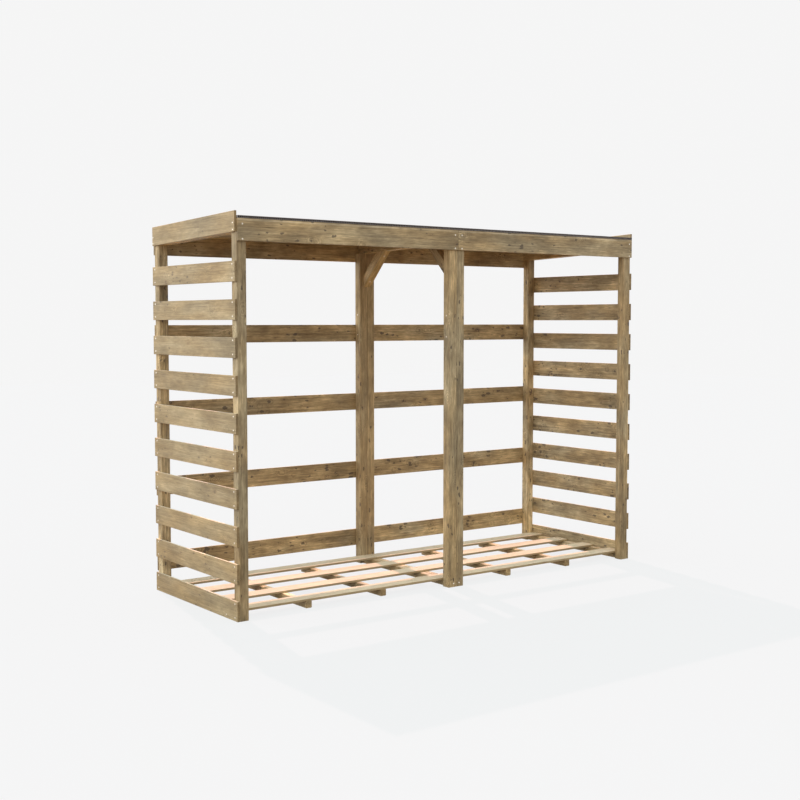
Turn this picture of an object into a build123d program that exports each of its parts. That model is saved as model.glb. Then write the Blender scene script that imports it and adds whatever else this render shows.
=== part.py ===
from build123d import *
import os

# Log store with two bays and a pent roof, in mm. X runs left to right, Y front to back,
# Z up from the level ground. The store is two equal modules standing side by side.

# timber sections
board_height = 90
board_thickness = 11
post_size = 47
bearer_size = 32
fascia_height = 98

# long edges: boards are rounded, framing timber is eased flat
board_arris = 2
framing_arris = 2.5

# overall frame, measured over the faces of the posts
frame_depth = 819
module_width = 1223.5

# gap between boards that meet end to end at the centre
joint_gap = 1

# heights at the front face of the posts
rafter_underside = 1710
roof_fall = 24

# side slats
side_slat_count = 10
side_slat_pitch = 166

# back
back_rail_count = 4
back_rail_lowest = 94.5
back_rail_pitch = 373
rear_top_board_bottom = 1642

# floor, with the middle of each bearer measured from the left of its module
floor_slat_count = 4
bearer_offsets = (16, 388, 811, module_width - 16)

# drop of a knee brace down its post
brace_leg = 180

# twin-wall roof sheet
sheet_thickness = 11
sheet_skin = 1
flute_wall = 0.8
flute_count = 255

front_face = -frame_depth / 2
rear_face = frame_depth / 2
front_line = front_face - board_thickness
rear_line = rear_face + board_thickness
left_face = -module_width
right_face = module_width
bay_front = front_face + post_size
bay_rear = rear_face - post_size
roof_slope = roof_fall / frame_depth
deck_low = post_size
deck_high = deck_low + board_thickness
sheet_high = deck_high + sheet_thickness


def underside_at(y):
    return rafter_underside - roof_slope * (y - front_face)


def long_edges(timber):
    """The edges that run the length of a timber, which are longer than any across it."""
    return timber.edges().filter_by(lambda edge: edge.length > 1.5 * fascia_height)


def cross_board(x_range, y_low, z_low, height):
    """A rounded board standing on edge, running across the store."""
    width = x_range[1] - x_range[0]
    with BuildPart() as board:
        with BuildSketch(Plane.XY.offset(z_low)):
            with Locations((x_range[0] + width / 2, y_low + board_thickness / 2)):
                Rectangle(width, board_thickness)
        extrude(amount=height)
        fillet(long_edges(board), radius=board_arris)
    return board.part


def framing_timber(x_start, corners):
    """A post, rafter or brace with eased edges, cut to an outline seen from the side."""
    with BuildPart() as timber:
        with BuildSketch(Plane.YZ.offset(x_start)):
            with BuildLine():
                Polyline(*corners, close=True)
            make_face()
        extrude(amount=post_size)
        chamfer(long_edges(timber), length=framing_arris)
    return timber.part


def sloping_outline(y_range, low, high):
    """Side outline with plumb ends, low and high above the rafters' underside."""
    start, end = y_range
    return (
        (start, underside_at(start) + low),
        (end, underside_at(end) + low),
        (end, underside_at(end) + high),
        (start, underside_at(start) + high),
    )


def save(part, name):
    part.label = name
    export_step(part, f"parts/{name}.step")


os.makedirs("parts", exist_ok=True)

# corner posts and the doubled posts at the centre, tops cut to the roof slope
post_lines = {
    "left": left_face,
    "centre_left": -post_size,
    "centre_right": 0,
    "right": right_face - post_size,
}
for line, x_start in post_lines.items():
    for side, y_start in (("front", front_face), ("rear", bay_rear)):
        y_end = y_start + post_size
        outline = ((y_start, 0), (y_end, 0), (y_end, underside_at(y_end)), (y_start, underside_at(y_start)))
        save(framing_timber(x_start, outline), f"{side}_post_{line}")

# rafters on the post tops, one over each side and one over the centre pair
rafter_lines = {
    "left": left_face,
    "centre": -post_size / 2,
    "right": right_face - post_size,
}
for line, x_start in rafter_lines.items():
    outline = sloping_outline((front_face, rear_face), 0, post_size)
    save(framing_timber(x_start, outline), f"rafter_{line}")

# knee braces at 45 degrees, mitred plumb at the foot and to the rafter's slope at the head
brace_rise = post_size * 2**0.5
for side, foot, inward in (("front", bay_front, 1), ("rear", bay_rear, -1)):
    edges = []
    for drop in (brace_leg, brace_leg - brace_rise):
        start = underside_at(foot) - drop
        run = drop / (1 + inward * roof_slope)
        edges.append(((foot, start), (foot + inward * run, start + run)))
    (low_foot, low_head), (high_foot, high_head) = edges
    outline = (low_foot, low_head, high_head, high_foot)
    save(framing_timber(-post_size / 2, outline), f"{side}_knee_brace")

# bargeboards outside the rafters, standing above the roof sheet
outer_lines = {"left": left_face - board_thickness, "right": right_face}
for line, x_start in outer_lines.items():
    with BuildPart() as bargeboard:
        with BuildSketch(Plane.YZ.offset(x_start)):
            with BuildLine():
                Polyline(*sloping_outline((front_face, rear_face), 0, board_height), close=True)
            make_face()
        extrude(amount=board_thickness)
        fillet(long_edges(bargeboard), radius=board_arris)
    save(bargeboard.part, f"bargeboard_{line}")

# side slats on the outer faces of the posts
slats_middle = ((side_slat_count - 1) * side_slat_pitch + board_height) / 2
for line, x_start in outer_lines.items():
    with BuildPart() as side_slats:
        with BuildSketch(Plane.YZ.offset(x_start)):
            with Locations((0, slats_middle)):
                with GridLocations(frame_depth, side_slat_pitch, 1, side_slat_count):
                    Rectangle(frame_depth, board_height)
        extrude(amount=board_thickness)
        fillet(long_edges(side_slats), radius=board_arris)
    save(side_slats.part, f"side_slats_{line}")

# fascia, rear top board and back rails of each module, butted over the centre posts
module_spans = {"left": (left_face, -joint_gap / 2), "right": (joint_gap / 2, right_face)}
fascia_bottom = rafter_underside + deck_high - fascia_height
for line, span in module_spans.items():
    save(cross_board(span, front_line, fascia_bottom, fascia_height), f"fascia_{line}")
    save(cross_board(span, rear_face, rear_top_board_bottom, board_height), f"rear_top_board_{line}")
    for row in range(back_rail_count):
        rail = cross_board(span, rear_face, back_rail_lowest + row * back_rail_pitch, board_height)
        save(rail, f"back_rail_{line}_{row + 1}")

# floor slats of each module, laid over the bearers between the front and rear posts
floor_pitch = (bay_rear - bay_front - board_height) / (floor_slat_count - 1)
for line, (x_min, x_max) in module_spans.items():
    with BuildPart() as floor_slats:
        with BuildSketch(Plane.XY.offset(bearer_size)):
            with Locations(((x_min + x_max) / 2, 0)):
                with GridLocations(module_width, floor_pitch, 1, floor_slat_count):
                    Rectangle(x_max - x_min, board_height)
        extrude(amount=board_thickness)
        fillet(long_edges(floor_slats), radius=board_arris)
    save(floor_slats.part, f"floor_slats_{line}")

# bearers on the ground under the floor slats
for line, x_module in (("left", left_face), ("right", 0)):
    for number, offset in enumerate(bearer_offsets, start=1):
        with BuildPart() as bearer:
            with BuildSketch():
                with Locations((x_module + offset, 0)):
                    Rectangle(bearer_size, bay_rear - bay_front)
            extrude(amount=bearer_size)
            chamfer(long_edges(bearer), length=framing_arris)
        save(bearer.part, f"bearer_{line}_{number}")

# roof deck across the rafters
roof_width = right_face - left_face
with BuildPart() as roof_deck:
    with BuildSketch(Plane.YZ.offset(left_face)):
        with BuildLine():
            Polyline(*sloping_outline((front_face, rear_line), deck_low, deck_high), close=True)
        make_face()
    extrude(amount=roof_width)
save(roof_deck.part, "roof_deck")

# twin-wall sheet on the deck, between the bargeboards, with its flutes open at the front and rear edges
flute_pitch = (roof_width - flute_wall) / flute_count
sheet_middle = underside_at(front_line) + (deck_high + sheet_high) / 2
sheet_run = Vector(0, rear_line - front_line, underside_at(rear_line) - underside_at(front_line))
with BuildPart() as roof_sheet:
    with BuildSketch(Plane(origin=(0, front_line, sheet_middle), x_dir=(1, 0, 0), z_dir=(0, -1, 0))):
        Rectangle(roof_width, sheet_thickness)
        with GridLocations(flute_pitch, sheet_thickness, flute_count, 1):
            Rectangle(flute_pitch - flute_wall, sheet_thickness - 2 * sheet_skin, mode=Mode.SUBTRACT)
    extrude(amount=sheet_run.length, dir=sheet_run)
save(roof_sheet.part, "roof_sheet")
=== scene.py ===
import math
import random
import bpy
from mathutils import Matrix, Vector


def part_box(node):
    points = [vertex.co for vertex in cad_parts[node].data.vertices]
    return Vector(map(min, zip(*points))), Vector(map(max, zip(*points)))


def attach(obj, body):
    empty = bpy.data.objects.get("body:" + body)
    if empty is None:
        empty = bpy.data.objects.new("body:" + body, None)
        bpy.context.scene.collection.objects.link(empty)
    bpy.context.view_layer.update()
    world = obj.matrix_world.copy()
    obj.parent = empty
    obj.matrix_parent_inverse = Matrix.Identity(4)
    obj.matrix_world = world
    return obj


# log store: the finish of its timbers and roof sheet, its screws, and a plain studio round it
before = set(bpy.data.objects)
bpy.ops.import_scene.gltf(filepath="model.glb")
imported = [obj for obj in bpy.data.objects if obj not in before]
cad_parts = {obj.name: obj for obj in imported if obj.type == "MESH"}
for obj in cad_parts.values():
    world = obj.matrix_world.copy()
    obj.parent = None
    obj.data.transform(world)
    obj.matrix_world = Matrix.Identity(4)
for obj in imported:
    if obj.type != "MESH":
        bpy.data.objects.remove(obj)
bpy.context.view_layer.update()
print("frame loaded:", len(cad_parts), "nodes")


def middleOf(node):
    low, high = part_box(node)
    return (low + high) / 2


# helpers that build node trees

def feed(tree, source, socket):
    # a socket gets linked, a plain number or tuple is typed in
    if isinstance(source, bpy.types.NodeSocket):
        tree.links.new(source, socket)
    else:
        socket.default_value = source


def mathNode(tree, operation, *values):
    step = tree.nodes.new("ShaderNodeMath")
    step.operation = operation
    for value, socket in zip(values, step.inputs):
        feed(tree, value, socket)
    return step.outputs[0]


def times(tree, first, second):
    return mathNode(tree, "MULTIPLY", first, second)


def plus(tree, first, second):
    return mathNode(tree, "ADD", first, second)


def vectorNode(tree, operation, *values, scale=None):
    step = tree.nodes.new("ShaderNodeVectorMath")
    step.operation = operation
    for value, socket in zip(values, step.inputs):
        feed(tree, value, socket)
    if scale is not None:
        feed(tree, scale, step.inputs["Scale"])
    return step.outputs["Value" if operation == "LENGTH" else "Vector"]


def splitNode(tree, vector):
    step = tree.nodes.new("ShaderNodeSeparateXYZ")
    tree.links.new(vector, step.inputs[0])
    return step.outputs


noiseSpan = (0.3, 0.7)  # what a noise mostly swings between


def noiseNode(tree, vector, size, detail, roughness=0.5):
    # size is how many features fit in a metre, along and across the board
    noise = tree.nodes.new("ShaderNodeTexNoise")
    noise.inputs["Scale"].default_value = 1.0
    noise.inputs["Detail"].default_value = detail
    noise.inputs["Roughness"].default_value = roughness
    tree.links.new(vectorNode(tree, "MULTIPLY", vector, size), noise.inputs["Vector"])
    return noise.outputs


def rampNode(tree, factor, low, high, fromValue=0.0, toValue=1.0):
    step = tree.nodes.new("ShaderNodeMapRange")
    step.interpolation_type = "SMOOTHSTEP"
    for name, value in (("Value", factor), ("From Min", low), ("From Max", high)):
        feed(tree, value, step.inputs[name])
    step.inputs["To Min"].default_value = fromValue
    step.inputs["To Max"].default_value = toValue
    return step.outputs["Result"]


def fadeNode(tree, factor, low, high):
    # one up to low, nothing from high on
    return rampNode(tree, factor, low, high, 1.0, 0.0)


def mixColour(tree, factor, first, second, blend="MIX"):
    step = tree.nodes.new("ShaderNodeMix")
    step.data_type = "RGBA"
    step.blend_type = blend
    feed(tree, factor, step.inputs[0])
    feed(tree, first, step.inputs[6])
    feed(tree, second, step.inputs[7])
    return step.outputs[2]


def tintNode(tree, factor, tint):
    return mixColour(tree, factor, (1, 1, 1, 1), tint)


def bumpNode(tree, height, look, shader):
    bump = tree.nodes.new("ShaderNodeBump")
    bump.inputs["Strength"].default_value = look["bumpStrength"]
    bump.inputs["Distance"].default_value = look["bumpDepth"]
    tree.links.new(height, bump.inputs["Height"])
    tree.links.new(bump.outputs[0], shader.inputs["Normal"])


# sawn softwood, one node group that every timber shares; sizes are features per metre
sawnWood = {
    "base": (0.410, 0.312, 0.172),
    "warm": (1.060, 1.002, 0.915, 1),
    "cool": (0.940, 0.998, 1.090, 1),
    "warmthShift": (11.0, 5.0, 3.0),
    "warmthSize": (3.0, 9.0, 9.0),
    "warmthRange": (0.30, 0.70),
    "toneShare": 0.15,
    "pale": (0.965, 1.005, 1.025, 1),
    "paleRange": (1.0, 1.5),
    "knot": (0.082, 0.066, 0.051, 1),
    "knotRim": (0.300, 0.185, 0.092, 1),
    "darkest": 0.9,
    "region": (7.31, 3.17, 5.93),  # how far one seed moves the pattern
    "gatherSize": (3.0, 7.0, 7.0),  # where knots and flecks come together
    "raggedSize": (70.0, 110.0, 110.0),
    "raggedDepth": 0.014,
    "boardTurn": 41.7,  # spreads the seeds, so that no two boards are quite as light as each other
    "boardShade": 0.05,
    "rowSeed": 1.618,  # what each row of slats adds to the seed
    "roughness": (0.66, 0.52),
    "darkGloss": -0.08,
}

# what swings the shade, from slow patches to fibres: size, detail, roughness and depth
grainScales = {
    "patch": ((2.2, 7.0, 7.0), 3.0, 0.55, 1.70),
    "mottle": ((8.0, 20.0, 20.0), 3.0, 0.6, 1.60),
    "smudge": ((24.0, 46.0, 46.0), 4.0, 0.65, 0.60),
    "streak": ((3.0, 80.0, 80.0), 4.0, 0.65, 1.05),
    "line": ((6.0, 240.0, 240.0), 3.0, 0.6, 1.20),
    "fibre": ((22.0, 900.0, 900.0), 2.0, 0.5, 1.90),
}

# how much each of them stands up in the surface
relief = {"fibre": 0.5, "line": 0.8, "rings": 0.6, "smudge": 0.3, "dark": 0.4}


def swing(tree, noise, depth):
    # a noise turned into a shade that swings evenly both ways
    return times(tree, mathNode(tree, "SUBTRACT", noise, 0.5), depth)


def knotCells(tree, place, size, least):
    # ragged cells, of which only those that draw a high number hold a knot
    ragged = noiseNode(tree, place, sawnWood["raggedSize"], 2.0)["Color"]
    shift = vectorNode(tree, "SUBTRACT", ragged, (0.5, 0.5, 0.5))
    moved = vectorNode(tree, "ADD", place, vectorNode(tree, "SCALE", shift, scale=sawnWood["raggedDepth"]))
    cells = tree.nodes.new("ShaderNodeTexVoronoi")
    cells.inputs["Scale"].default_value = 1.0
    tree.links.new(vectorNode(tree, "MULTIPLY", moved, size), cells.inputs["Vector"])
    draw = tree.nodes.new("ShaderNodeSeparateColor")
    tree.links.new(cells.outputs["Color"], draw.inputs[0])
    return cells.outputs["Distance"], rampNode(tree, draw.outputs[0], least, 1.0)


# burls: rings drawn round a few centres, which also pull the grain aside
burls = {
    "size": (7.5, 12.0, 12.0),
    "least": 0.35,
    "reach": (0.05, 0.55),
    "rings": 72.0,
    "ringFade": (0.1, 0.6),
    "shade": 0.20,
    "grainPull": 0.02,
}


def addBurls(tree, here):
    away, girth = knotCells(tree, here, burls["size"], burls["least"])
    pull = times(tree, fadeNode(tree, away, *burls["reach"]), girth)
    rings = mathNode(tree, "SINE", times(tree, away, burls["rings"]))
    return pull, times(tree, rings, rampNode(tree, pull, *burls["ringFade"]))


# knots: a broken dark core with a brown rim
knots = {
    "size": (7.0, 12.0, 12.0),
    "least": 0.30,
    "gather": (0.36, 0.62),
    "radius": (0.04, 0.11),
    "edge": 0.07,
    "rimEdge": 0.18,
    "rimShare": 0.40,
    "brokenSize": (130.0, 190.0, 190.0),
    "brokenRange": (0.40, 0.54),
}


def addKnots(tree, here, gathered, knotty):
    away, girth = knotCells(tree, here, knots["size"], knots["least"])
    radius = times(tree, girth, rampNode(tree, gathered, *knots["gather"], *knots["radius"]))
    radius = times(tree, radius, knotty)
    broken = noiseNode(tree, here, knots["brokenSize"], 3.0, 0.6)["Fac"]
    core = fadeNode(tree, away, radius, plus(tree, radius, knots["edge"]))
    core = times(tree, core, rampNode(tree, broken, *knots["brokenRange"]))
    rim = fadeNode(tree, away, radius, plus(tree, radius, knots["rimEdge"]))
    return core, times(tree, rim, girth)


# flecks: small dark marks that gather in places
flecks = {
    "size": (26.0, 60.0, 60.0),
    "least": 0.45,
    "gather": (0.38, 0.62),
    "radius": (0.04, 0.36),
    "edge": 0.07,
    "shownFrom": (0.04, 0.14),
    "dark": 0.85,
}


def addFlecks(tree, here, gathered, knotty):
    away, girth = knotCells(tree, here, flecks["size"], flecks["least"])
    radius = times(tree, girth, rampNode(tree, gathered, *flecks["gather"], *flecks["radius"]))
    radius = times(tree, radius, knotty)
    fleck = fadeNode(tree, away, radius, plus(tree, radius, flecks["edge"]))
    return times(tree, fleck, rampNode(tree, radius, *flecks["shownFrom"]))


# eyes: round knots in a row, each with a ring, on a stretch of the knottier boards
eyes = {
    "size": (19.0, 25.0, 25.0),
    "least": 0.20,
    "stretchShift": (4.0, 9.0, 2.0),
    "stretchSize": (2.6, 5.0, 5.0),
    "stretchRange": (0.54, 0.60),
    "knottyFrom": (1.0, 1.2),
    "radius": 0.27,
    "core": 0.7,
    "edge": 0.03,
    "shownFrom": (0.03, 0.12),
    "dark": 0.85,
    "ringRadius": 1.9,
    "ringWidth": (0.02, 0.09),
    "ringFrom": (0.06, 0.16),
    "ringShade": -0.30,
}


def addEyes(tree, here, knotty):
    elsewhere = vectorNode(tree, "ADD", here, eyes["stretchShift"])
    stretch = noiseNode(tree, elsewhere, eyes["stretchSize"], 1.0)["Fac"]
    stretch = rampNode(tree, stretch, *eyes["stretchRange"])
    stretch = times(tree, stretch, rampNode(tree, knotty, *eyes["knottyFrom"]))
    away, girth = knotCells(tree, here, eyes["size"], eyes["least"])
    radius = times(tree, times(tree, girth, stretch), eyes["radius"])
    eye = fadeNode(tree, away, times(tree, radius, eyes["core"]), plus(tree, radius, eyes["edge"]))
    eye = times(tree, eye, rampNode(tree, radius, *eyes["shownFrom"]))
    fromRing = mathNode(tree, "SUBTRACT", away, times(tree, radius, eyes["ringRadius"]))
    ring = fadeNode(tree, mathNode(tree, "ABSOLUTE", fromRing), *eyes["ringWidth"])
    return eye, times(tree, ring, rampNode(tree, radius, *eyes["ringFrom"]))


# growth rings, round a pith that lies off the board
growth = {
    "perMetre": 190.0,
    "warpSize": (1.6, 6.0, 6.0),
    "warpDepth": 0.020,
    "pith": {"Y": ("SINE", 12.9, 0.055), "Z": ("COSINE", 7.7, 0.05)},  # how the seed moves it, and how far
    "shade": 0.60,
}


def addGrowthRings(tree, place, here, seed, pull):
    warp = noiseNode(tree, here, growth["warpSize"], 3.0, 0.6)["Color"]
    bend = vectorNode(tree, "SUBTRACT", warp, (0.5, 0.5, 0.5))
    bent = vectorNode(tree, "ADD", place, vectorNode(tree, "SCALE", bend, scale=growth["warpDepth"]))
    pith = tree.nodes.new("ShaderNodeCombineXYZ")
    for axis, (wave, turn, reach) in growth["pith"].items():
        offset = mathNode(tree, wave, times(tree, seed, turn))
        feed(tree, times(tree, offset, reach), pith.inputs[axis])
    across = vectorNode(tree, "MULTIPLY", bent, (0.0, 1.0, 1.0))
    radius = vectorNode(tree, "LENGTH", vectorNode(tree, "SUBTRACT", across, pith.outputs[0]))
    radius = mathNode(tree, "MULTIPLY_ADD", pull, burls["grainPull"], radius)
    rings = tree.nodes.new("ShaderNodeTexNoise")
    rings.noise_dimensions = "1D"
    rings.inputs["Scale"].default_value = 1.0
    rings.inputs["Detail"].default_value = 3.0
    rings.inputs["Roughness"].default_value = 0.6
    feed(tree, times(tree, radius, growth["perMetre"]), rings.inputs["W"])
    return rings.outputs["Fac"]


def makeSawnWood():
    group = bpy.data.node_groups.new("sawnWood", "ShaderNodeTree")
    face = group.interface
    face.new_socket("Vector", in_out="INPUT", socket_type="NodeSocketVector")
    for name in ("Seed", "Tone", "Contrast", "Knots"):
        face.new_socket(name, in_out="INPUT", socket_type="NodeSocketFloat")
    face.new_socket("Colour", in_out="OUTPUT", socket_type="NodeSocketColor")
    for name in ("Roughness", "Height"):
        face.new_socket(name, in_out="OUTPUT", socket_type="NodeSocketFloat")
    start = group.nodes.new("NodeGroupInput")
    end = group.nodes.new("NodeGroupOutput")
    place, seed, tone, contrast, knotty = (
        start.outputs[name] for name in ("Vector", "Seed", "Tone", "Contrast", "Knots"))

    # every board samples its own region of the patterns
    here = vectorNode(group, "ADD", place, vectorNode(group, "SCALE", sawnWood["region"], scale=seed))
    gathered = noiseNode(group, here, sawnWood["gatherSize"], 2.0)["Fac"]
    pull, burl = addBurls(group, here)
    core, rim = addKnots(group, here, gathered, knotty)
    fleck = addFlecks(group, here, gathered, knotty)
    eye, eyeRing = addEyes(group, here, knotty)
    marks = {"rings": addGrowthRings(group, place, here, seed, pull)}

    # shade: everything swings it in turn, and it is raised as a power of e
    shade = swing(group, marks["rings"], growth["shade"])
    for name, (size, detail, roughness, depth) in grainScales.items():
        marks[name] = noiseNode(group, here, size, detail, roughness)["Fac"]
        shade = plus(group, shade, swing(group, marks[name], depth))
    board = mathNode(group, "SINE", times(group, seed, sawnWood["boardTurn"]))
    for part, depth in (
            (burl, burls["shade"]), (eyeRing, eyes["ringShade"]), (board, sawnWood["boardShade"])):
        shade = mathNode(group, "MULTIPLY_ADD", part, depth, shade)
    shade = mathNode(group, "EXPONENT", times(group, shade, contrast))

    # colour: warmer or greyer in patches, paler where it is light, and knots over that
    elsewhere = vectorNode(group, "ADD", here, sawnWood["warmthShift"])
    warmth = noiseNode(group, elsewhere, sawnWood["warmthSize"], 2.0)["Fac"]
    warmth = plus(group, warmth, times(group, tone, sawnWood["toneShare"]))
    mild = mathNode(group, "MINIMUM", contrast, 1.0)
    warmth = mathNode(group, "MULTIPLY_ADD", mathNode(group, "SUBTRACT", warmth, 0.5), mild, 0.5)
    warmth = rampNode(group, warmth, *sawnWood["warmthRange"])
    tint = mixColour(group, warmth, sawnWood["cool"], sawnWood["warm"])
    light = rampNode(group, shade, *sawnWood["paleRange"])
    tint = mixColour(group, light, tint, sawnWood["pale"], "MULTIPLY")
    colour = vectorNode(group, "SCALE", vectorNode(group, "MULTIPLY", tint, sawnWood["base"]), scale=shade)
    colour = mixColour(group, times(group, rim, knots["rimShare"]), colour, sawnWood["knotRim"])
    dark = mathNode(group, "MAXIMUM", core, times(group, fleck, flecks["dark"]))
    dark = mathNode(group, "MAXIMUM", dark, times(group, eye, eyes["dark"]))
    dark = times(group, dark, mathNode(group, "MINIMUM", contrast, sawnWood["darkest"]))
    group.links.new(mixColour(group, dark, colour, sawnWood["knot"]), end.inputs["Colour"])

    roughness = rampNode(group, marks["streak"], *noiseSpan, *sawnWood["roughness"])
    roughness = plus(group, roughness, times(group, dark, sawnWood["darkGloss"]))
    group.links.new(roughness, end.inputs["Roughness"])
    marks["dark"] = dark
    height = 0.0
    for name, depth in relief.items():
        height = mathNode(group, "MULTIPLY_ADD", marks[name], depth, height)
    group.links.new(height, end.inputs["Height"])
    return group


woodGroup = makeSawnWood()

# how the timber has weathered, and the light and shade painted on it: sky-facing faces painted paler,
# sheltered undersides painted warmer, and a painted shadow and highlight along the fascia's top; faces are
# told by how squarely they point a way
weatherAndPaintedLight = {
    "squarely": (0.8, 0.98),
    "paintedSkyLight": (1.72, 2.02, 2.58, 1),  # what faces the sky is painted paler and greyer: painted light from above with a painted sheen
    # the same painted sky light, weaker, for timbers under the roof
    "shelteredPaintedSkyLight": (1.30, 1.42, 1.70, 1),
    "endGrain": (0.74, 0.70, 0.64, 1),
    "underside": (1.18, 1.11, 0.84, 1),  # painted bounce light: what faces the ground under the roof is painted warmer, for light thrown up from the wood around it
    "undersideRange": (-0.9, -0.5),
    "paintedShadow": (0.55, 0.54, 0.52, 1),  # painted shadow: a dark line right under the roof edge, where the sheet shades the board
    "paintedShadowRange": (0.001, 0.004),
    "paintedHighlight": (1.30, 1.42, 1.66, 1),  # and a painted highlight below it, where the board's top arris catches the light
    "paintedHighlightStart": (0.002, 0.005),
    "paintedHighlightEnd": (0.007, 0.013),
    "bloom": 0.20,
    "shelteredBloom": 0.04,
    "bloomTint": (1.0, 0.88, 0.72, 1),
    "bloomRoughness": 0.3,
    "ior": 1.5,
    "specular": 0.25,
    "bumpStrength": 0.6,
    "bumpDepth": 0.0008,
}

# turn of the pattern that lays its grain along a timber
grainTurn = {
    "x": (0, 0, 0),
    "y": (0, 0, -90),
    "z": (0, 90, 0),
    "braceFront": (-45, 0, -90),
    "braceRear": (45, 0, -90),
}


def alongGrain(tree, place, middle, run):
    # the pattern's origin goes to the middle of the timber, and its X along the grain
    centred = tree.nodes.new("ShaderNodeMapping")
    centred.inputs["Location"].default_value = tuple(-value for value in middle)
    turned = tree.nodes.new("ShaderNodeMapping")
    turned.inputs["Rotation"].default_value = tuple(math.radians(angle) for angle in grainTurn[run])
    tree.links.new(place, centred.inputs["Vector"])
    tree.links.new(centred.outputs[0], turned.inputs["Vector"])
    return turned.outputs[0]


def boardInRow(tree, place, seed, axis, pitch):
    # several boards in one node: each is centred and numbered by its row
    split = splitNode(tree, place)
    join = tree.nodes.new("ShaderNodeCombineXYZ")
    for letter in "XYZ":
        if letter != axis:
            tree.links.new(split[letter], join.inputs[letter])
    within = mathNode(tree, "WRAP", split[axis], pitch / 2, -pitch / 2)
    tree.links.new(within, join.inputs[axis])
    row = mathNode(tree, "DIVIDE", mathNode(tree, "SUBTRACT", split[axis], within), pitch)
    row = mathNode(tree, "ROUND", row)
    return join.outputs[0], mathNode(tree, "MULTIPLY_ADD", row, sawnWood["rowSeed"], seed)


def weatherAndPaintedLightTint(tree, normal, run, sheltered):
    facing = splitNode(tree, normal)
    # painted light: faces turned to the sky are painted paler
    skyward = rampNode(tree, facing["Z"], *weatherAndPaintedLight["squarely"])
    tint = tintNode(tree, skyward, weatherAndPaintedLight["shelteredPaintedSkyLight" if sheltered else "paintedSkyLight"])
    if run in "xyz":
        endward = mathNode(tree, "ABSOLUTE", facing[run.upper()])
        tint = mixColour(tree, rampNode(tree, endward, *weatherAndPaintedLight["squarely"]), tint, weatherAndPaintedLight["endGrain"])
    if sheltered:
        # painted bounce light: downward faces under the roof are painted warmer
        paintedBounceMask = fadeNode(tree, facing["Z"], *weatherAndPaintedLight["undersideRange"])
        tint = mixColour(tree, paintedBounceMask, tint, weatherAndPaintedLight["underside"])
    return tint


def paintTopShadeAndHighlight(tree, colour, place, top):
    # paints a shadow line just under the top and a highlight band a little below it
    below = mathNode(tree, "SUBTRACT", top, splitNode(tree, place)["Z"])
    paintedHighlight = times(
        tree, rampNode(tree, below, *weatherAndPaintedLight["paintedHighlightStart"]), fadeNode(tree, below, *weatherAndPaintedLight["paintedHighlightEnd"]))
    colour = vectorNode(tree, "MULTIPLY", colour, tintNode(tree, paintedHighlight, weatherAndPaintedLight["paintedHighlight"]))
    paintedShadow = fadeNode(tree, below, *weatherAndPaintedLight["paintedShadowRange"])
    return vectorNode(tree, "MULTIPLY", colour, tintNode(tree, paintedShadow, weatherAndPaintedLight["paintedShadow"]))


def timberMaterial(name, middle, run, seed, tone=0.0, light=1.0, contrast=1.0, knotty=1.0,
                   sheltered=False, rows=None, wornTop=None):
    made = bpy.data.materials.new(name)
    made.use_nodes = True
    tree = made.node_tree
    shader = tree.nodes["Principled BSDF"]
    shader.inputs["IOR"].default_value = weatherAndPaintedLight["ior"]
    shader.inputs["Specular IOR Level"].default_value = weatherAndPaintedLight["specular"]
    shader.inputs["Sheen Weight"].default_value = weatherAndPaintedLight["shelteredBloom" if sheltered else "bloom"]
    shader.inputs["Sheen Roughness"].default_value = weatherAndPaintedLight["bloomRoughness"]
    shader.inputs["Sheen Tint"].default_value = weatherAndPaintedLight["bloomTint"]

    source = tree.nodes.new("ShaderNodeTexCoord").outputs
    place = alongGrain(tree, source["Object"], middle, run)
    if rows:
        place, seed = boardInRow(tree, place, seed, *rows)
    wood = tree.nodes.new("ShaderNodeGroup")
    wood.node_tree = woodGroup
    for socket, value in (
            ("Vector", place), ("Seed", seed), ("Tone", tone), ("Contrast", contrast), ("Knots", knotty)):
        feed(tree, value, wood.inputs[socket])
    tint = weatherAndPaintedLightTint(tree, source["Normal"], run, sheltered)
    colour = vectorNode(tree, "MULTIPLY", wood.outputs["Colour"], tint)
    if wornTop:
        colour = paintTopShadeAndHighlight(tree, colour, source["Object"], wornTop)
    # the lightness scales the colour: partly the wood's own, partly painted light and shade
    tree.links.new(vectorNode(tree, "SCALE", colour, scale=light), shader.inputs["Base Color"])
    tree.links.new(wood.outputs["Roughness"], shader.inputs["Roughness"])
    bumpNode(tree, wood.outputs["Height"], weatherAndPaintedLight, shader)
    return made


def dress(node, run, seed, middle=None, **look):
    if middle is None:
        middle = middleOf(node)
    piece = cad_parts[node]
    piece.data.materials.clear()
    piece.data.materials.append(timberMaterial(node + "_wood", middle, run, seed, **look))


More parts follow.
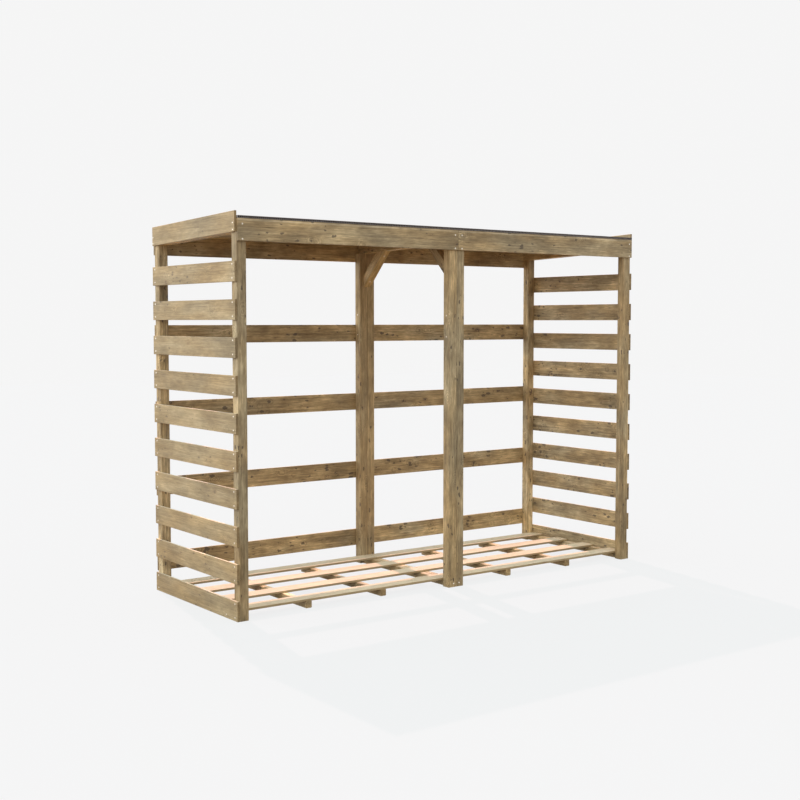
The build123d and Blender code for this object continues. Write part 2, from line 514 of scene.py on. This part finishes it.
# which way each timber runs, its seed, warmth, lightness, contrast and knots; the lightness is partly the
# wood's own and partly painted light and shade, lifting the rafters, rear brace and rear top boards under the
# roof and darkening the roof deck
timbers = {
    "front_post_left": ("z", 1.0, -0.2, 0.91, 1.0, 0.9),
    "front_post_centre_left": ("z", 2.3, 0.1, 0.98, 1.0, 0.9),
    "front_post_centre_right": ("z", 3.7, -0.5, 0.98, 1.0, 0.9),
    "front_post_right": ("z", 4.1, 0.2, 0.98, 1.0, 1.0),
    "rear_post_left": ("z", 5.9, 0.3, 0.94, 1.15, 1.0),
    "rear_post_centre_left": ("z", 6.6, 0.9, 1.04, 0.8, 0.9),
    "rear_post_centre_right": ("z", 7.4, 0.9, 1.04, 0.85, 0.9),
    "rear_post_right": ("z", 8.2, 0.5, 0.95, 1.15, 1.0),
    "rafter_left": ("y", 9.5, 0.4, 1.25, 1.0, 1.0),
    "rafter_centre": ("y", 10.8, 0.5, 1.25, 1.0, 1.0),
    "rafter_right": ("y", 11.6, 0.4, 1.25, 1.0, 1.0),
    "front_knee_brace": ("braceFront", 12.3, 0.2, 1.0, 1.0, 1.0),
    "rear_knee_brace": ("braceRear", 13.9, 0.0, 1.22, 0.8, 0.6),
    "bargeboard_left": ("y", 14.4, -0.4, 1.04, 0.55, 0.5),
    "bargeboard_right": ("y", 15.2, 0.2, 1.04, 0.65, 0.5),
    "fascia_left": ("x", 16.7, 0.3, 1.06, 0.86, 1.0),
    "fascia_right": ("x", 17.9, -0.1, 1.08, 0.86, 1.0),
    "rear_top_board_left": ("x", 18.6, -0.1, 1.12, 0.9, 1.0),
    "rear_top_board_right": ("x", 19.3, -0.1, 1.10, 0.9, 1.0),
    "roof_deck": ("x", 20.5, 0.6, 0.78, 1.0, 1.0),
}
underRoof = ("rafter", "front_knee", "rear_knee", "rear_top", "roof_deck")  # how sheltered names begin
for node, (run, seed, tone, light, contrast, knotty) in timbers.items():
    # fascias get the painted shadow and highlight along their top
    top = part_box(node)[1].z if node.startswith("fascia") else None
    dress(node, run, seed, tone=tone, light=light, contrast=contrast, knotty=knotty,
          sheltered=node.startswith(underRoof), wornTop=top)

# boards that repeat: back rails and bearers are a node each
backRails = {
    "count": 4,
    "seeds": {"left": 30.0, "right": 50.0},
    "seedStep": 1.9,
    "tone": 1.15,
    "toneStep": -0.15,  # the lower rails are warmer than the upper ones
    # partly painted light: the higher a rail, the lighter it is made, for the light that reaches it
    "light": 0.91,
    "lightStep": 0.035,
    "knotty": 1.2,
}
bearers = {
    "count": 4,
    "seeds": {"left": 39.0, "right": 59.0},
    "seedStep": 1.3,
    "tone": 0.3,
    # painted light: the bearers are made lighter for the light on their sides in the shade of the floor
    "light": 1.45,
}

# slats are one node a side, so their rows are told apart inside the material
sideSlats = {
    "count": 10,
    "pitch": 0.166,
    "height": 0.09,
    "seeds": {"left": 70.0, "right": 90.0},
    "tone": 0.1,
    "contrast": {"left": 0.58, "right": 1.0},
    "knotty": {"left": 0.8, "right": 1.2},
}
floorSlats = {
    "count": 4,
    "pitch": 0.635 / 3,
    "width": 0.09,
    "seeds": {"left": 78.0, "right": 98.0},
    "tone": 0.2,
    "contrast": 0.21,
    # partly painted light: the floor slats are made lighter for the light on their tops
    "light": 1.15,
}
for side in ("left", "right"):
    for row in range(1, backRails["count"] + 1):
        dress(f"back_rail_{side}_{row}", "x", backRails["seeds"][side] + row * backRails["seedStep"],
              tone=backRails["tone"] + row * backRails["toneStep"],
              light=backRails["light"] + row * backRails["lightStep"], knotty=backRails["knotty"])
    for row in range(1, bearers["count"] + 1):
        dress(f"bearer_{side}_{row}", "y", bearers["seeds"][side] + row * bearers["seedStep"],
              tone=bearers["tone"], light=bearers["light"], sheltered=True)

    node = f"side_slats_{side}"
    middle = middleOf(node)
    middle.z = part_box(node)[0].z + sideSlats["height"] / 2  # the middle of the lowest slat
    dress(node, "y", sideSlats["seeds"][side], middle, tone=sideSlats["tone"],
          contrast=sideSlats["contrast"][side], knotty=sideSlats["knotty"][side],
          rows=("Z", sideSlats["pitch"]))
    node = f"floor_slats_{side}"
    middle = middleOf(node)
    middle.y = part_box(node)[0].y + floorSlats["width"] / 2  # the middle of the front slat
    dress(node, "x", floorSlats["seeds"][side], middle, tone=floorSlats["tone"],
          contrast=floorSlats["contrast"], light=floorSlats["light"], rows=("Y", floorSlats["pitch"]))
print("timber finished")


# black fluted roof sheet, paler where it was cut
roofSheet = {
    "colour": (0.032, 0.036, 0.037, 1),
    "dust": (0.050, 0.056, 0.057, 1),
    "dustSize": (6.0, 6.0, 6.0),
    "filmRange": (0.35, 0.7),
    "runSize": (60.0, 3.0, 10.0),
    "runShare": (0.3, 1.0),
    "cut": (0.34, 0.31, 0.295, 1),
    "cutDepth": 0.012,
    "flutes": 255,
    "runRelief": 0.6,
    "ior": 1.48,
    "specular": 0.3,
    "roughness": (0.66, 0.78),
    "bumpStrength": 0.35,
    "bumpDepth": 0.0004,
}


def makeRoofSheet():
    made = bpy.data.materials.new("blackSheet")
    made.use_nodes = True
    tree = made.node_tree
    shader = tree.nodes["Principled BSDF"]
    shader.inputs["IOR"].default_value = roofSheet["ior"]
    shader.inputs["Specular IOR Level"].default_value = roofSheet["specular"]
    place = tree.nodes.new("ShaderNodeTexCoord").outputs["Object"]
    split = splitNode(tree, place)
    low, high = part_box("roof_sheet")

    # dust lies in a thin film that rain has drawn down the fall
    dust = noiseNode(tree, place, roofSheet["dustSize"], 5.0, 0.6)["Fac"]
    run = noiseNode(tree, place, roofSheet["runSize"], 3.0, 0.6)["Fac"]
    drawn = rampNode(tree, run, *noiseSpan, *roofSheet["runShare"])
    film = times(tree, rampNode(tree, dust, *roofSheet["filmRange"]), drawn)
    colour = mixColour(tree, film, roofSheet["colour"], roofSheet["dust"])
    fromMiddle = mathNode(tree, "ABSOLUTE", split["Y"])
    sawn = rampNode(tree, fromMiddle, high.y - roofSheet["cutDepth"], high.y - roofSheet["cutDepth"] / 3)
    tree.links.new(mixColour(tree, sawn, colour, roofSheet["cut"]), shader.inputs["Base Color"])
    roughness = rampNode(tree, dust, *noiseSpan, *roofSheet["roughness"])
    tree.links.new(roughness, shader.inputs["Roughness"])

    # each flute shows as a low rib
    turn = 2 * math.pi * roofSheet["flutes"] / (high.x - low.x)
    ribs = mathNode(tree, "COSINE", times(tree, mathNode(tree, "SUBTRACT", split["X"], low.x), turn))
    bumpNode(tree, mathNode(tree, "MULTIPLY_ADD", run, roofSheet["runRelief"], ribs), roofSheet, shader)
    return made


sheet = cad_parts["roof_sheet"]
sheet.data.materials.clear()
sheet.data.materials.append(makeRoofSheet())
print("roof finished")


# screws: one countersunk head with a cross recess, copied to every fixing
screwHead = {
    "sides": 12,
    "radius": 0.0038,
    "depth": 0.0016,
    "proud": 0.0004,
    "rim": 0.0005,
    "crossReach": 0.0014,
    "crossWidth": 0.0009,
    "crossDepth": 0.0008,
    "metal": (0.96, 0.90, 0.79, 1),
    "dull": (0.82, 0.72, 0.57, 1),
    "bloomSize": (340.0, 340.0, 340.0),
    "bloomRange": (0.45, 0.75),
    "roughness": (0.34, 0.52),
    "seed": 4,
}


def pickFaces(mesh, wanted):
    # selects the faces for which wanted(face) holds
    bpy.ops.mesh.select_mode(type="FACE")
    bpy.ops.mesh.select_all(action="DESELECT")
    bpy.ops.object.mode_set(mode="OBJECT")
    for face in mesh.polygons:
        face.select = wanted(face)
    bpy.ops.object.mode_set(mode="EDIT")


def makeScrewHead():
    bpy.ops.object.select_all(action="DESELECT")
    middle = screwHead["proud"] - screwHead["depth"] / 2
    bpy.ops.mesh.primitive_cylinder_add(
        vertices=screwHead["sides"], radius=screwHead["radius"], depth=screwHead["depth"],
        location=(0, 0, middle))
    head = bpy.context.object
    bpy.ops.object.transform_apply()
    bpy.ops.object.mode_set(mode="EDIT")
    pickFaces(head.data, lambda face: face.normal.z > 0.9)
    bpy.ops.mesh.bevel(offset=screwHead["rim"], segments=1, affect="EDGES")
    bpy.ops.object.mode_set(mode="OBJECT")

    # the recess: a small column with an arm drawn out of each side
    bpy.ops.mesh.primitive_cube_add(size=1, location=(0, 0, screwHead["proud"]))
    cross = bpy.context.object
    cross.dimensions = (screwHead["crossWidth"], screwHead["crossWidth"], screwHead["crossDepth"] * 2)
    bpy.ops.object.transform_apply()
    bpy.ops.object.mode_set(mode="EDIT")
    pickFaces(cross.data, lambda face: abs(face.normal.z) < 0.1)
    bpy.ops.mesh.extrude_faces_move(TRANSFORM_OT_shrink_fatten={"value": screwHead["crossReach"]})
    bpy.ops.object.mode_set(mode="OBJECT")

    bpy.ops.object.select_all(action="DESELECT")
    head.select_set(True)
    bpy.context.view_layer.objects.active = head
    cut = head.modifiers.new("recess", "BOOLEAN")
    cut.operation = "DIFFERENCE"
    cut.solver = "EXACT"
    cut.object = cross
    bpy.ops.object.modifier_apply(modifier=cut.name)
    bpy.data.objects.remove(cross)
    return head


def makeScrewMetal():
    made = bpy.data.materials.new("screwMetal")
    made.use_nodes = True
    tree = made.node_tree
    shader = tree.nodes["Principled BSDF"]
    shader.inputs["Metallic"].default_value = 1.0
    place = tree.nodes.new("ShaderNodeTexCoord").outputs["Object"]
    bloom = noiseNode(tree, place, screwHead["bloomSize"], 3.0, 0.6)["Fac"]
    dulled = rampNode(tree, bloom, *screwHead["bloomRange"])
    colour = mixColour(tree, dulled, screwHead["metal"], screwHead["dull"])
    tree.links.new(colour, shader.inputs["Base Color"])
    roughness = rampNode(tree, bloom, *noiseSpan, *screwHead["roughness"])
    tree.links.new(roughness, shader.inputs["Roughness"])
    return made


screwPattern = makeScrewHead()
screwMetal = makeScrewMetal()
screwTurns = random.Random(screwHead["seed"])


def placeScrews(name, facing, spots):
    # one piece: a head at each spot, its top turned to the way it faces
    bpy.ops.object.select_all(action="DESELECT")
    upright = Vector(facing).to_track_quat("Z", "Y").to_matrix().to_4x4()
    for spot in spots:
        head = screwPattern.copy()
        head.data = screwPattern.data.copy()
        bpy.context.collection.objects.link(head)
        turn = Matrix.Rotation(screwTurns.uniform(0, math.pi), 4, "Z")
        head.matrix_world = Matrix.Translation(spot) @ upright @ turn
        head.select_set(True)
    bpy.context.view_layer.objects.active = head
    bpy.ops.object.join()
    piece = bpy.context.object
    bpy.ops.object.transform_apply()
    piece.name = name
    piece.data.name = name
    piece.data.materials.clear()
    piece.data.materials.append(screwMetal)
    bpy.ops.object.shade_smooth_by_angle(angle=math.radians(30))
    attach(piece, "root")


# how far the fixings stand in from the ends and edges of the boards, and where the centre posts have theirs
screwLines = {
    "slatLow": 0.016,
    "slatHigh": 0.013,
    "slatEnd": 0.0235,
    "slatBearer": 0.056,
    "railEdge": 0.018,
    "bargeDrop": 0.0235,  # half a rafter
    "bargeFront": 0.017,
    "bargeRear": 0.007,
    "bargeSpread": 0.015,
    "fasciaLow": 0.008,
    "fasciaHigh": 0.073,
    "fasciaShift": 0.005,
    "floorEdge": 0.018,
    "braceShares": (0.15, 0.86),
    "footHeight": 0.018,
    "footX": {"centre_left": -0.0145, "centre_right": 0.0195},
    "pairHeights": {"front": (1.246, 1.350), "rear": (1.357, 1.250)},
}
postLines = {"left": ("left", "centre_left"), "right": ("centre_right", "right")}
endBearers = {"left": 1, "right": 4}


def screwSide(side, outward):
    # side slats: two at each end of every board
    low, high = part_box(f"side_slats_{side}")
    face = low.x if outward < 0 else high.x
    spots = []
    for row in range(sideSlats["count"]):
        foot = low.z + row * sideSlats["pitch"]
        for y in (low.y + screwLines["slatEnd"], high.y - screwLines["slatEnd"]):
            for z in (foot + screwLines["slatLow"], foot + sideSlats["height"] - screwLines["slatHigh"]):
                spots.append((face, y, z))
    # the lowest board is also held to the bearer behind it
    bearer = f"bearer_{side}_{endBearers[side]}"
    spots.append((face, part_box(bearer)[0].y + screwLines["slatBearer"], middleOf(bearer).z))
    placeScrews(f"side_slat_screws_{side}", (outward, 0, 0), spots)

    # bargeboards: two at each end, either side of the rafter's middle
    low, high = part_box(f"rafter_{side}")
    fall = (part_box("front_post_left")[1].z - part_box("rear_post_left")[1].z) / (high.y - low.y)
    spots = []
    for y in (low.y + screwLines["bargeFront"], high.y - screwLines["bargeRear"]):
        middle = high.z - screwLines["bargeDrop"] - (y - low.y) * fall
        for rise in (-screwLines["bargeSpread"], screwLines["bargeSpread"]):
            spots.append((face, y, middle + rise))
    placeScrews(f"bargeboard_screws_{side}", (outward, 0, 0), spots)


def screwFrontAndBack(side):
    # fascia, rear top board and back rails: two at each post
    low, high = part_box(f"fascia_{side}")
    first, second = [middleOf(f"front_post_{line}").x for line in postLines[side]]
    spots = []
    for x in (first, second + screwLines["fasciaShift"]):
        spots += [(x, low.y, low.z + screwLines[height]) for height in ("fasciaLow", "fasciaHigh")]
    placeScrews(f"fascia_screws_{side}", (0, -1, 0), spots)
    spots = []
    boards = [f"back_rail_{side}_{row}" for row in range(1, backRails["count"] + 1)]
    for board in boards + [f"rear_top_board_{side}"]:
        low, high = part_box(board)
        for x in (first, second):
            for z in (low.z + screwLines["railEdge"], high.z - screwLines["railEdge"]):
                spots.append((x, high.y, z))
    placeScrews(f"back_screws_{side}", (0, 1, 0), spots)


def screwFloor(side):
    # floor slats: two over each bearer
    low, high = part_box(f"floor_slats_{side}")
    spots = []
    for bearer in range(1, bearers["count"] + 1):
        x = middleOf(f"bearer_{side}_{bearer}").x
        for row in range(floorSlats["count"]):
            edge = low.y + row * floorSlats["pitch"]
            for y in (edge + screwLines["floorEdge"], edge + floorSlats["width"] - screwLines["floorEdge"]):
                spots.append((x, y, high.z))
    placeScrews(f"floor_screws_{side}", (0, 0, 1), spots)


for side, outward in (("left", -1), ("right", 1)):
    screwSide(side, outward)
    screwFrontAndBack(side)
    screwFloor(side)

# knee braces: two through the lower face of each
for end, inward in (("front", 1), ("rear", -1)):
    low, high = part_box(f"{end}_knee_brace")
    foot = low.y if inward > 0 else high.y
    reach = high.y - low.y
    spots = [(0, foot + inward * reach * share, low.z + reach * share) for share in screwLines["braceShares"]]
    placeScrews(f"{end}_brace_screws", (0, inward, -1), spots)

# centre posts: one through each foot, and the pair held to each other
spots = [(x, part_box(f"front_post_{line}")[0].y, screwLines["footHeight"])
         for line, x in screwLines["footX"].items()]
placeScrews("post_foot_screws", (0, -1, 0), spots)
spots = []
for end, heights in screwLines["pairHeights"].items():
    post = f"{end}_post_centre_left"
    spots += [(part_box(post)[0].x, middleOf(post).y, z) for z in heights]
placeScrews("post_pair_screws", (-1, 0, 0), spots)
bpy.data.objects.remove(screwPattern)
print("screws finished")


# stage: pale floor, even sky, a sun from behind, two wide lamps low on the left, one further back than
# the other, and a soft lamp close by
stage = {
    "paper": (0.916, 0.916, 0.916, 1),
    "floorWidth": 40.0,
    "floorLit": (0.55, 0.68, 0.71, 1),  # cool enough to come out plain under the warm sun
    "floorShare": 0.1,  # how much of the floor takes light and shadow, the rest glows evenly
    "floorBounce": (0.15, 0.115, 0.07, 1),  # what it throws back on the store
    "sky": (1.0, 1.0, 1.0, 1),
    "skyPower": 0.9,
    "sunTurn": (0.175, 0.9, 1.0),
    "sunPower": 2.9,
    "sunColour": (1.0, 0.548, 0.515),
    "sunWidth": 0.6,
    "edgeTurn": (-0.6, 1.0, 0.3),
    "edgePower": 0.6,
    "edgeWidth": 40.0,
    "sideTurn": (-1.0, -0.35, 0.12),
    "sidePower": 0.79,
    "sideWidth": 60.0,
    "softPlace": (-4.2, 0.3, 2.7),
    "softAim": (-1.2, 0.0, 0.9),
    "softWidth": 2.4,
    "softHeight": 1.8,
    "softPower": 24.0,
}


def shaderNode(tree, kind, colour):
    step = tree.nodes.new(kind)
    step.inputs["Color"].default_value = colour
    return step


def mixShaders(tree, factor, first, second):
    step = tree.nodes.new("ShaderNodeMixShader")
    feed(tree, factor, step.inputs[0])
    tree.links.new(first.outputs[0], step.inputs[1])
    tree.links.new(second.outputs[0], step.inputs[2])
    return step


def paleToCamera(tree):
    # one wherever the camera, a reflection or clear plastic sees the studio itself
    path = tree.nodes.new("ShaderNodeLightPath")
    seen = mathNode(tree, "MAXIMUM", path.outputs["Is Camera Ray"], path.outputs["Is Glossy Ray"])
    return mathNode(tree, "MAXIMUM", seen, path.outputs["Is Transmission Ray"])


def makeFloor():
    bpy.ops.object.select_all(action="DESELECT")
    bpy.ops.mesh.primitive_plane_add(size=stage["floorWidth"], location=(0, 0, 0))
    floor = bpy.context.object
    floor.name = "studioFloor"
    paper = bpy.data.materials.new("studioPaper")
    paper.use_nodes = True
    tree = paper.node_tree
    tree.nodes.clear()
    output = tree.nodes.new("ShaderNodeOutputMaterial")
    bounce = shaderNode(tree, "ShaderNodeBsdfDiffuse", stage["floorBounce"])
    lit = shaderNode(tree, "ShaderNodeBsdfDiffuse", stage["floorLit"])
    glow = shaderNode(tree, "ShaderNodeEmission", stage["paper"])
    shown = mixShaders(tree, stage["floorShare"], glow, lit)
    chosen = mixShaders(tree, paleToCamera(tree), bounce, shown)
    tree.links.new(chosen.outputs[0], output.inputs["Surface"])
    floor.data.materials.append(paper)
    return floor


def makeSky():
    world = bpy.data.worlds.new("studioWorld")
    bpy.context.scene.world = world
    world.use_nodes = True
    tree = world.node_tree
    tree.nodes.clear()
    output = tree.nodes.new("ShaderNodeOutputWorld")
    sky = shaderNode(tree, "ShaderNodeBackground", stage["sky"])
    sky.inputs["Strength"].default_value = stage["skyPower"]
    pale = shaderNode(tree, "ShaderNodeBackground", stage["paper"])
    chosen = mixShaders(tree, paleToCamera(tree), sky, pale)
    tree.links.new(chosen.outputs[0], output.inputs["Surface"])


def addSun(name, turn, power, width, colour=(1, 1, 1)):
    bpy.ops.object.light_add(type="SUN", location=Vector(turn) * 3)
    lamp = bpy.context.object
    lamp.name = name
    lamp.rotation_euler = Vector(turn).to_track_quat("Z", "Y").to_euler()
    lamp.data.energy = power
    lamp.data.angle = math.radians(width)
    lamp.data.color = colour


def addSoftLamp(floor):
    bpy.ops.object.light_add(type="AREA", location=stage["softPlace"])
    lamp = bpy.context.object
    lamp.name = "softLamp"
    lamp.data.shape = "RECTANGLE"
    lamp.data.size = stage["softWidth"]
    lamp.data.size_y = stage["softHeight"]
    lamp.data.energy = stage["softPower"]
    aim = Vector(stage["softPlace"]) - Vector(stage["softAim"])
    lamp.rotation_euler = aim.to_track_quat("Z", "Y").to_euler()
    lamp.visible_camera = False
    # the floor stays even: this lamp lights only the store
    receivers = bpy.data.collections.new("softLampReceivers")
    receivers.objects.link(floor)
    receivers.collection_objects[0].light_linking.link_state = "EXCLUDE"
    lamp.light_linking.receiver_collection = receivers


studioFloor = makeFloor()
makeSky()
addSun("sunLamp", stage["sunTurn"], stage["sunPower"], stage["sunWidth"], stage["sunColour"])
addSun("edgeLamp", stage["edgeTurn"], stage["edgePower"], stage["edgeWidth"])
addSun("sideLamp", stage["sideTurn"], stage["sidePower"], stage["sideWidth"])
addSoftLamp(studioFloor)

view = {
    "place": (-3.8194, -5.1270, 1.3223),
    "pitch": 86.333,
    "turn": -36.354,
    "lens": 55.29,
    "sensor": 36.0,
}
bpy.ops.object.camera_add(
    location=view["place"], rotation=(math.radians(view["pitch"]), 0, math.radians(view["turn"])))
camera = bpy.context.object
camera.name = "studioCamera"
camera.data.sensor_width = view["sensor"]
camera.data.lens = view["lens"]
bpy.context.scene.camera = camera
bpy.context.scene.view_settings.view_transform = "Standard"
print("stage set")
